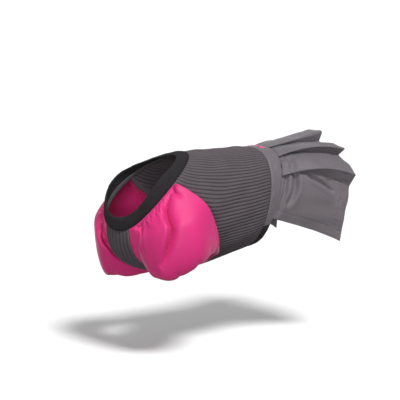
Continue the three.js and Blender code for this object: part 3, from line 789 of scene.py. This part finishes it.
# Soft folds that drag from the waistband, on the left half; the right one mirrors them. A panel counts
# from the spine. Each runs through three points: across is a share of the panel, share the way to the
# hem, and depth and breadth are in millimetres.
DRAG_FOLDS = table("panel across0 share0 across1 share1 across2 share2 depth breadth", [
    [6, 0.05, 0.075, 0.34, 0.05, 0.95, 0.03, 3.6, 2.0],
    [6, 0.03, 0.16, 0.3, 0.17, 0.66, 0.1, 5.2, 2.9],
    [6, 0.02, 0.36, 0.1, 0.48, 0.2, 0.7, 4.8, 2.4],
    [6, 0.02, 0.62, 0.1, 0.68, 0.34, 0.8, 2.6, 4.5],
    [4, 0.15, 0.12, 0.6, 0.135, 0.98, 0.11, 3.0, 3.6],
    [4, 0.25, 0.55, 0.5, 0.5, 0.8, 0.6, 0.8, 6.0],
    [2, 0.3, 0.12, 0.6, 0.11, 0.9, 0.1, 1.2, 3.0],
])


def drag_relief(grid, panel, across, shares):
    """The depth of the dragged folds over the skirt's cloth."""
    middle_panel = (panel.max() + 1) // 2
    relief = np.zeros(grid.shape[:2])
    t = np.linspace(0, 1, 60)
    for fold in each(DRAG_FOLDS):
        row = np.rint(np.interp(on_fold(fold, "share", t), shares, np.arange(len(shares)))).astype(int)
        for hand in (1, -1):
            columns = np.flatnonzero(panel == middle_panel + hand * fold["panel"])
            place = across[columns] if hand > 0 else 1 - across[columns]
            column = columns[np.abs(place[None] - on_fold(fold, "across", t)[:, None]).argmin(1)]
            line = smoothed(grid[row, column], 11)
            gap = np.linalg.norm(grid[:, columns][:, :, None] - line, axis=-1)
            off = gap.min(-1) / fold["breadth"]
            valley = np.exp(-off * off) - 0.18 * np.exp(-((off - 2) ** 2))
            relief[:, columns] -= fold["depth"] * faded(0.15, 0.9, t[gap.argmin(-1)]) * valley
    return relief


def make_skirt():
    """The skirt's object, its outer face and normals, and how far each point is along it and from the hem."""
    grid, panel, across, shares = skirt_middle()
    normals = grid_normals(grid, False)
    share = shares[:, None]
    down = lengths_down(grid)
    from_hem = down[-1] - down
    run = lengths_down(grid[len(grid) // 2])
    from_end = np.broadcast_to(np.minimum(run, run[-1] - run), from_hem.shape)

    def near_stitches(reach):
        """1 along the stitches of the lower hem and of the front ones, falling off over a reach."""
        return [np.exp(-(((edge - HEM_WIDTH) / reach) ** 2)) for edge in (from_hem, from_end)]

    on_panel = np.where(panel >= 0, 1.0, 0.3)
    soft = SOFT_WAVES * ripple(run / 30, down / 34, 31) * ramp(0, 0.25, share) * on_panel
    near_lower, near_front = near_stitches(PUCKER_REACH)
    pucker = ripple(run / 4.5, down / 12, 32) * near_lower + ripple(run / 12, down / 4.5, 33) * near_front
    held = ramp(0, 0.05, share) * ramp(0, 4, from_end)
    face_panel = np.where(panel % 2 == 0, ramp(0, 0.2, across) * ramp(1, 0.8, across), 0.0)
    relief = soft + drag_relief(grid, panel, across, shares) * held
    relief = relief - STITCH_DENT * sum(near_stitches(STITCH_DENT_REACH)) + PUCKER * pucker
    relief = relief - SEWN_DIP * face_panel * np.exp(-((down / SEWN_REACH) ** 2))
    face = grid + normals * (SKIRT_WALL / 2 + relief)[..., None]
    doubled = ramp(HEM_WIDTH + HEM_STEP, HEM_WIDTH - HEM_STEP, np.minimum(from_hem, from_end))
    rear = grid - normals * (SKIRT_WALL / 2 - relief + HEM_THICKENING * doubled)[..., None]
    u = np.broadcast_to(run, down.shape)
    thing = cloth_piece("skirt_pleated", face, rear, False, grey_weave, u=u, v=down)
    return thing, face, normals, run, from_hem


skirt, skirt_face, skirt_normals, skirt_run, skirt_from_hem = make_skirt()
placed(skirt, "grey_weave", "skirt")


# Sleeves

SLEEVE_COLUMNS = {"neck": 28, "chest": 12, "rear": 16}
SLEEVE_FINENESS = 7
SLEEVE_ROWS = 100


def armhole_edge():
    """Places round the leg hole's seam: place in SLEEVE, share of the torso, and angle."""
    across = PANEL_ANGLE - SHOULDER_ANGLE
    crowding = 1.7
    neck, chest, rear = (np.arange(n) / n for n in SLEEVE_COLUMNS.values())
    rear_angle = SHOULDER_ANGLE + across * (1 - rear) ** crowding
    place = np.concatenate([neck, 1 + chest, 2 + rear])
    at = np.concatenate([0 * neck, armhole_reach(PANEL_ANGLE) * chest, armhole_reach(rear_angle)])
    angle = np.concatenate([SHOULDER_ANGLE + across * neck, np.full(len(chest), PANEL_ANGLE), rear_angle])
    return place, at, angle


def seam_inwards(seam, out):
    """Unit vectors from the seam into the leg hole, and how sharply the seam turns."""
    step = lambda a, b: unit(np.cross(a - b, out))
    first = step(np.roll(seam, 1, 0), seam)
    inwards = unit(first + step(seam, np.roll(seam, -1, 0)))
    return inwards, (inwards * first).sum(1)


def finer(points, factor, straight):
    """A closed row of points with more between them, straight from one to the next or curved."""
    count = len(points)
    at = np.arange(count * factor) / factor
    i = at.astype(int)
    t = (at - i)[:, None]
    p0, p1, p2, p3 = (points[(i + k) % count] for k in (-1, 0, 1, 2))
    if straight:
        return p1 + (p2 - p1) * t
    return 0.5 * (2 * p1 + (p2 - p0) * t + (2 * p0 - 5 * p1 + 4 * p2 - p3) * t**2
                  + (3 * p1 - p0 - 3 * p2 + p3) * t**3)


def through(points, shares):
    """Places at shares of the length of centripetal curves. points has one list of points a curve."""
    before = 2 * points[0] - points[1]
    after = 2 * points[-1] - points[-2]
    chain = np.concatenate([before[None], points, after[None]])
    fine = []
    for k in range(len(points) - 1):
        p0, p1, p2, p3 = four = chain[k:k + 4]
        d0, d1, d2 = np.linalg.norm(np.diff(four, axis=0), axis=-1, keepdims=True) ** 0.5
        t1 = ((p1 - p0) / d0 - (p2 - p0) / (d0 + d1) + (p2 - p1) / d1) * d1
        t2 = ((p2 - p1) / d1 - (p3 - p1) / (d1 + d2) + (p3 - p2) / d2) * d1
        t = np.linspace(0, 1, 24, endpoint=False)[:, None, None]
        fine.append(p1 + t1 * t + (3 * (p2 - p1) - 2 * t1 - t2) * t**2 + (2 * (p1 - p2) + t1 + t2) * t**3)
    fine = np.concatenate([*fine, points[-1][None]])
    run = lengths_down(fine)
    curves = [picked(shares * at[-1], at, fine[:, i]) for i, at in enumerate(run.T)]
    return np.stack(curves, 1), run[-1]


def sleeve_middle(side):
    """The smooth middle of a sleeve's cloth, its places round and its lengths."""
    place, at, angle = armhole_edge()
    seam = torso_point(at, angle)
    _, out = torso_frame(at, angle)
    inwards, sharpness = seam_inwards(seam, out)
    inset = SEAM_GAP + SLEEVE_WALL / 2
    root = seam + inwards * (inset / np.maximum(0.5, sharpness))[:, None]
    far = 1 if side < 0 else 0
    centre = np.array([-CUFF_AHEAD - far * FAR_LEG_AHEAD, -CUFF_OUT, -CUFF_DROP])
    value = lambda column: along(SLEEVE, "place", column, place)
    turn = np.radians(value("turn"))
    hang = far * FAR_LEG_DROP * (1 + np.cos(turn - math.radians(FAR_LEG_TURN))) / 2
    cuff = centre + np.stack([
        -np.sin(turn) * CUFF_LENGTH / 2,
        -np.cos(turn) * CUFF_WIDTH / 2,
        -hang - (np.sin(turn) * CUFF_TILT - np.cos(turn) * CUFF_ROLL) / 2,
    ], -1)

    def passing(level, sag):
        return np.stack([
            centre[0] - value(level + "Ahead") * PUFF_AHEAD,
            centre[1] - value(level + "Out") * PUFF_OUT,
            centre[2] * value(level + "Down") - sag,
        ], -1)

    to_middle = seam.mean(0) - root
    across = unit(to_middle - out * (to_middle * out).sum(1, keepdims=True))
    lifted = root + PUFF_OUT * (out * value("lift")[:, None] + across * value("spread")[:, None])
    rings = [root, lifted, passing("high", hang / 3), passing("low", hang), cuff]
    smooth = np.stack([finer(ring, SLEEVE_FINENESS, k == 0) for k, ring in enumerate(rings)])
    shares = np.linspace(0, 1, SLEEVE_ROWS + 1)
    grid, length = through(smooth, shares)
    fine_place = finer(np.append(place, 3.0)[:, None], SLEEVE_FINENESS, True)[:len(smooth[0]), 0]
    return grid, fine_place, shares, length


# Folds of the sleeves, each through three points: place is as in SLEEVE, share is from the seam to the
# leg opening, depth and breadth are in millimetres, and lean raises the cloth on one side of the fold.
FOLD_COLUMNS = "place0 share0 place1 share1 place2 share2 depth breadth lean"
NEAR_FOLDS = table(FOLD_COLUMNS, [
    [0.15, 0.04, 0.53, 0.29, 0.775, 0.62, 5.6, 3.6, -1.3],
    [0.14, 0.03, 0.5, 0.27, 0.74, 0.56, 2.7, 1.3, -0.6],
    [0.06, 0.02, 0.085, 0.09, 0.1, 0.2, 3.4, 2.6, 0.5],
    [0.75, 0.02, 0.93, 0.12, 1.05, 0.42, 4.4, 2.6, 0.9],
    [0.88, 0.0, 0.95, 0.07, 1.08, 0.2, 1.6, 1.5, 0.0],
    [0.23, 0.0, 0.27, 0.07, 0.33, 0.16, 1.9, 1.5, 0.0],
    [0.29, 0.0, 0.33, 0.05, 0.4, 0.13, 1.5, 1.3, 0.2],
    [0.36, 0.0, 0.4, 0.05, 0.47, 0.13, 1.4, 1.3, 0.0],
    [0.47, 0.0, 0.52, 0.05, 0.6, 0.12, 1.2, 1.4, 0.2],
    [0.6, 0.0, 0.68, 0.06, 0.78, 0.13, 1.2, 1.5, 0.0],
    [0.17, 0.98, 0.2, 0.9, 0.13, 0.82, 0.8, 2.4, 0.0],
    [0.42, 1.0, 0.4, 0.9, 0.37, 0.78, 1.4, 2.6, 0.0],
    [0.62, 1.0, 0.63, 0.88, 0.6, 0.74, 1.4, 2.8, 0.3],
    [2.55, 0.04, 2.6, 0.3, 2.7, 0.6, 2.4, 4.5, 0.4],
    [2.2, 0.04, 2.3, 0.3, 2.4, 0.6, 1.6, 3.5, 0.0],
])
FAR_FOLDS = table(FOLD_COLUMNS, [
    [0.8, 0.03, 1.12, 0.26, 1.5, 0.1, 4.4, 3.0, 0.8],
    [1.0, 0.12, 1.3, 0.22, 1.85, 0.3, 3.2, 3.0, 0.8],
    [0.15, 0.04, 0.5, 0.29, 0.775, 0.62, 4.6, 3.6, -0.8],
    [0.06, 0.02, 0.085, 0.09, 0.1, 0.2, 2.6, 2.8, 0.4],
    [0.88, 0.0, 0.97, 0.07, 1.06, 0.16, 1.6, 1.6, 0.0],
    [0.25, 0.0, 0.29, 0.07, 0.35, 0.16, 1.7, 1.5, 0.0],
    [0.4, 0.0, 0.44, 0.05, 0.5, 0.14, 1.4, 1.4, 0.2],
    [0.56, 0.0, 0.6, 0.06, 0.68, 0.14, 1.4, 1.5, 0.0],
    [0.9, 1.0, 0.93, 0.88, 0.95, 0.74, 1.6, 2.8, 0.0],
    [0.35, 1.0, 0.35, 0.9, 0.3, 0.78, 1.4, 2.6, 0.0],
    [2.55, 0.04, 2.6, 0.3, 2.7, 0.6, 2.2, 4.5, 0.4],
])
CUFF_GATHERS = 22
CUFF_GATHER_DEPTH = 0.45
NECK_GATHERS = 15
NECK_GATHER_DEPTH = 0.3
SLEEVE_WAVES = 0.55


def crease(fold, grid, place, share):
    """One fold's relief over a sleeve: deepest along a curve through its three points."""
    t = np.linspace(0, 1, 40)
    off_place = place[None] - on_fold(fold, "place", t)[:, None]
    column = np.argmin(np.abs((off_place + 1.5) % 3 - 1.5), axis=1)
    last_row = len(share) - 1
    row = np.clip(np.rint(on_fold(fold, "share", t) * last_row).astype(int), 0, last_row)
    line = smoothed(grid[row, column], 7)
    reach = fold["breadth"] * 4
    near = ((grid > line.min(0) - reach) & (grid < line.max(0) + reach)).all(-1)
    spot = grid[near]
    gap = np.linalg.norm(spot[:, None] - line[None], axis=-1)
    k = gap.argmin(1)
    normal = grid_normals(grid, True)[near]
    side = np.sign((np.cross(np.gradient(line, axis=0)[k], spot - line[k]) * normal).sum(-1))
    off = side * gap.min(1) / fold["breadth"]
    valley = -np.exp(-off * off) + fold["lean"] * off * np.exp(-off * off / 2.2) * 0.5
    relief = np.zeros(grid.shape[:2])
    relief[near] = fold["depth"] * faded(0.12, 0.95, t[k]) * valley
    return relief


def sleeve_relief(grid, place, share, folds, seed):
    """How far a sleeve's cloth stands out from its smooth form."""
    creases = sum(crease(fold, grid, place[0], share[:, 0]) for fold in each(folds))
    fade_in = ramp(0, 0.05, share)
    total = SLEEVE_WAVES * ripple(place * 1.1, share * 1.6, seed) * ramp(0, 0.3, share)
    on_neck = np.where(place < 1, np.sin(np.pi * np.clip(place, 0, 1)) ** 0.5, 0.15)
    jitter = 0.25 * ripple(place * 3, share * 0.6, seed + 1)
    gathers = np.cos(2 * np.pi * (place * NECK_GATHERS + jitter))
    total = total + NECK_GATHER_DEPTH * on_neck * gathers * fade_in * ramp(0.2, 0.02, share)
    cuff = np.cos(2 * np.pi * (place / 3 * CUFF_GATHERS + jitter * 2))
    total = total + CUFF_GATHER_DEPTH * cuff * ramp(0.82, 1, share)
    return total + creases * fade_in * ramp(1.02, 0.97, share)


def make_sleeve(name, side, folds, seed):
    grid, place, shares, length = sleeve_middle(side)
    normals = grid_normals(grid, True)
    centre = grid.mean((0, 1))
    if ((grid - centre) * normals).sum() < 0:
        normals = -normals
    room = np.minimum(1, length / PUFF_AHEAD) ** 2
    relief = sleeve_relief(grid, place[None], shares[:, None], folds, seed) * room
    middle = grid + normals * relief[..., None]
    bent_normals = grid_normals(middle, True)
    normals = bent_normals * np.sign((bent_normals * normals).sum())
    face, rear = middle + normals * SLEEVE_WALL / 2, middle - normals * SLEEVE_WALL / 2
    if side < 0:
        face, rear = face * [1, -1, 1], rear * [1, -1, 1]
    return cloth_piece(name, face, rear, True, pink_weave)


sleeve_left = placed(make_sleeve("sleeve_left_woven", 1, NEAR_FOLDS, 41), "pink_weave", "sleeve_left")
sleeve_right = placed(make_sleeve("sleeve_right_woven", -1, FAR_FOLDS, 47), "pink_weave", "sleeve_right")


# Seam allowances on the inner side

TAPE_HALF = 2.4
TAPE_WALL = 0.5
TAPE_SINK = 1.5
TAPE_RIDGE = 0.12
RING_POINTS = 480


def tape(name, seam, across, out, closed, material, slot, half=TAPE_HALF, sink=TAPE_SINK):
    """A flat strip under a seam, on the inner side of the garment."""
    offsets = np.linspace(-half, half, 5)[:, None, None]
    base = seam + across * offsets - out * sink
    ridge = TAPE_RIDGE * np.cos(np.arange(len(seam)) * 2.1)[None, :, None]
    face, rear = base + out * (TAPE_WALL / 2 + ridge), base - out * (TAPE_WALL / 2 + ridge)
    return placed(cloth_piece(name, face, rear, closed, material), slot)


ring_angles = np.arange(RING_POINTS) * TURN / RING_POINTS
for tape_name, end, tape_slot in (("seam_neck", 0, "neck_knit"), ("seam_waist", 1, "body_knit")):
    tape(tape_name, torso_point(end, ring_angles), *torso_frame(end, ring_angles), True, tape_knit, tape_slot)
hole_place, hole_at, hole_angle = armhole_edge()
hole_seam = torso_point(hole_at, hole_angle)
_, hole_out = torso_frame(hole_at, hole_angle)
hole_in, _ = seam_inwards(hole_seam, hole_out)
for hand, mirror in HANDS:
    flip = np.array([1, mirror, 1])
    tape(f"seam_sleeve_{hand}", hole_seam * flip, hole_in * flip, hole_out * flip, True, tape_knit,
         "pink_weave")


SKIRT_TAPE_HALF = 3.4
# It lies on the waistband in front and dips under the pleats' inner layers behind
SKIRT_TAPE_SINK = np.array([1.4, 1.75, 2.2, 2.3, 2.3])[:, None, None]
root_angles = np.linspace(-WAISTBAND_HALF_ANGLE + 1, WAISTBAND_HALF_ANGLE - 1, 361)
root_seam = past_waist(waistband_width(root_angles) + SKIRT_GAP / 2, root_angles)
tape("seam_skirt", root_seam, *torso_frame(1, root_angles), False, tape_knit, "grey_weave",
     SKIRT_TAPE_HALF, SKIRT_TAPE_SINK)

BAND_TAPE_POINTS = 12
BAND_TAPE_FROM = 3.2
BAND_TAPE_TO = BELLY_BAND_WIDTH - 0.6
for hand, sign in HANDS:
    end_angles = np.full(BAND_TAPE_POINTS, sign * (WAISTBAND_HALF_ANGLE + BAND_END_GAP / 2))
    end_back, end_out = torso_frame(1, end_angles)
    end_seam = past_waist(np.linspace(BAND_TAPE_FROM, BAND_TAPE_TO, BAND_TAPE_POINTS), end_angles)
    tape(f"seam_band_{hand}", end_seam, np.cross(end_out, end_back), end_out, False, tape_knit, "belly_knit")


# Sewing thread on the outer side

THREAD_SIDES = 6
STITCH_POINTS = 6


def stitches(line, out, length=STITCH_LENGTH, gap=STITCH_GAP, radius=STITCH_RADIUS):
    """A row of stitches along points of the cloth's surface, as meshes."""
    reach = lengths_down(line)
    count = int(reach[-1] // (length + gap))
    parts = []
    for k in range(count):
        t = np.linspace(0, 1, STITCH_POINTS)
        at = k * (length + gap) + gap / 2 + length * t
        arched = radius * (1.1 * np.sin(math.pi * t) - 0.5)
        path = picked(at, reach, line) + picked(at, reach, out) * arched[:, None]
        parts.append(tube(path, radius * (1 - 0.5 * np.abs(2 * t - 1) ** 3), THREAD_SIDES))
    return parts


def hem_line():
    """The skirt's outer face along its lower hem's inner edge, and the normals there."""
    inside = np.flatnonzero((skirt_run > HEM_WIDTH) & (skirt_run < skirt_run[-1] - HEM_WIDTH))
    return [np.array([picked(HEM_WIDTH, skirt_from_hem[::-1, i], grid[::-1, i]) for i in inside])
            for grid in (skirt_face, skirt_normals)]


def end_line(sign):
    """The skirt's outer face along a front hem's inner edge, from the seam down, and the normals there."""
    run = skirt_run if sign > 0 else (skirt_run[-1] - skirt_run)[::-1]
    stop = np.abs(skirt_from_hem[:, ::sign][:, 0] - HEM_WIDTH).argmin()
    return [np.array([picked(HEM_WIDTH, run, row[::sign]) for row in grid[2:stop]])
            for grid in (skirt_face, skirt_normals)]


def made(name, parts, material, slot):
    return placed(make_object(name, *joined(parts), material), slot)


skirt_rows = [part for row in (hem_line(), end_line(1), end_line(-1)) for part in stitches(*row)]
made("stitches_skirt", skirt_rows, grey_thread, "grey_weave")

# The knit is topstitched beside the rear edge of each leg hole. Places are as in SLEEVE.
HOLE_STITCHES_FROM, HOLE_STITCHES_TO = 2.02, 2.98
HOLE_STITCH_INSET = 1.7
HOLE_STITCH_RISE = 0.72


def hole_line():
    """Points on the knit beside the left leg hole's rear edge, and the normals there."""
    place = np.linspace(HOLE_STITCHES_FROM, HOLE_STITCHES_TO, 90)
    at, around = (np.interp(place, hole_place, column) for column in (hole_at, hole_angle))
    seam = torso_point(at, around)
    _, out = torso_frame(at, around)
    away = unit(np.cross(out, np.gradient(seam, axis=0)))
    away = away * np.sign(((seam - hole_seam.mean(0)) * away).sum(1))[:, None]
    return seam + away * HOLE_STITCH_INSET + out * HOLE_STITCH_RISE, out


for hand, mirror in HANDS:
    line, out = (part * np.array([1, mirror, 1]) for part in hole_line())
    made(f"stitches_sleeve_{hand}", stitches(line, out, length=1.3, gap=0.9, radius=0.13), light_thread,
         "body_knit")


# Small embroidered flowers on the waistband over the spine

FLOWER_ANGLES = (-11.5, 0.0, 11.5)
FLOWER_FROM_SEAM = 8.5
PETALS = 5
PETAL_START, PETAL_END = 0.75, 3.3
PETAL_HALF = 0.85
KNOT_RADIUS = 0.6
PETAL_SIDES = 10
FLOWER_TURN = 0.4
FLATNESS = 0.45


def flower(angle, turned):
    """A five-petal flower of raised thread at an angle from the spine, as meshes."""
    back, out = (v.reshape(3) for v in torso_frame(1, angle))
    centre = past_waist(FLOWER_FROM_SEAM, angle).reshape(3) + out * (WAISTBAND_WALL / 2)
    sideways = np.cross(out, back)
    parts = []

    def raised(path, radii):
        points, faces, places = tube(path, radii, PETAL_SIDES)
        height = ((points - centre) @ out)[:, None]
        parts.append((points - out * height * (1 - FLATNESS), faces, places))

    t = np.linspace(0, 1, 9)
    for k in range(PETALS):
        heading = 2 * math.pi * k / PETALS + turned
        way = back * math.cos(heading) + sideways * math.sin(heading)
        path = centre + way * (PETAL_START + (PETAL_END - PETAL_START) * t)[:, None]
        raised(path, PETAL_HALF * (0.25 + 0.75 * np.sin(math.pi * (0.12 + 0.76 * t))))
    knot = centre + out * np.linspace(-0.4, 1.2, 6)[:, None]
    raised(knot, KNOT_RADIUS * np.array([0.7, 1, 1, 0.9, 0.7, 0.3]))
    return parts


flowers = [part for k, angle in enumerate(FLOWER_ANGLES) for part in flower(angle, FLOWER_TURN * k)]
made("flowers_embroidered", flowers, pink_thread, "pink_weave")


# Camera, light and floor

TARGET = (-20.0, 0.0, -51.0)
AZIMUTH, ELEVATION = -35, 8
DISTANCE = 1600.0
WIDTH_AT_TARGET = 420.0
FLOOR_Z = -205.0
FLOOR_HALF = 80000.0
SENSOR = 36.0
SKY_ABOVE, SKY_BELOW = 0.32, 0.1
SKY_BLEND = 0.5

# Each light's azimuth, elevation and width of its disc in degrees, and its strength
SUNS = {"key": (-6, 54, 16, 2.95), "fill": (-42, 6, 30, 2.05), "rim": (160, 30, 30, 0.5)}


def aimed(name, data, azimuth, elevation):
    """A camera or light at angles in degrees round the target, pointed at it."""
    azimuth, elevation = math.radians(azimuth), math.radians(elevation)
    towards = np.array([math.sin(azimuth) * math.cos(elevation), -math.cos(azimuth) * math.cos(elevation),
                        math.sin(elevation)])
    place, target = Vector(np.array(TARGET) + towards * DISTANCE) * MM, Vector(TARGET) * MM
    thing = linked(name, data)
    thing.location = place
    thing.rotation_mode = "QUATERNION"
    thing.rotation_quaternion = (target - place).to_track_quat("-Z", "Y")
    return thing


def make_camera():
    data = bpy.data.cameras.new("camera")
    data.sensor_width = SENSOR
    data.lens = SENSOR * DISTANCE / WIDTH_AT_TARGET
    data.clip_start, data.clip_end = 0.05, 50
    bpy.context.scene.camera = aimed("camera", data, AZIMUTH, ELEVATION)


def make_sun(name, azimuth, elevation, width, strength):
    """A broad, even light from far away."""
    data = bpy.data.lights.new(name, "SUN")
    data.angle = math.radians(width)
    data.energy = strength
    aimed(name, data, azimuth, elevation)


def make_floor():
    mesh = bpy.data.meshes.new("floor")
    corner = FLOOR_HALF * MM
    points = [(x * corner, y * corner, FLOOR_Z * MM) for x, y in ((-1, -1), (1, -1), (1, 1), (-1, 1))]
    mesh.from_pydata(points, [], [(0, 1, 2, 3)])
    s = Shader("floor_white", 0.9, specular=0.0)
    s.surface.inputs["Base Color"].default_value = (0.9, 0.9, 0.9, 1)
    mesh.materials.append(s.material)
    floor = linked("floor", mesh)
    floor.visible_diffuse = False


def make_world():
    """A pale studio, brighter above than below."""
    world = bpy.data.worlds.new("studio")
    bpy.context.scene.world = world
    world.use_nodes = True
    nodes, links = world.node_tree.nodes, world.node_tree.links
    split = nodes.new("ShaderNodeSeparateXYZ")
    links.new(nodes.new("ShaderNodeTexCoord").outputs["Generated"], split.inputs[0])
    blend = nodes.new("ShaderNodeMapRange")
    for name, value in (("From Min", -SKY_BLEND), ("From Max", SKY_BLEND),
                        ("To Min", SKY_BELOW), ("To Max", SKY_ABOVE)):
        blend.inputs[name].default_value = value
    links.new(split.outputs[2], blend.inputs["Value"])
    links.new(blend.outputs["Result"], nodes["Background"].inputs["Strength"])
    nodes["Background"].inputs["Color"].default_value = (1, 1, 1, 1)
    bpy.context.scene.view_settings.view_transform = "Standard"


make_camera()
make_world()
make_floor()
for sun_name, settings in SUNS.items():
    make_sun(sun_name, *settings)
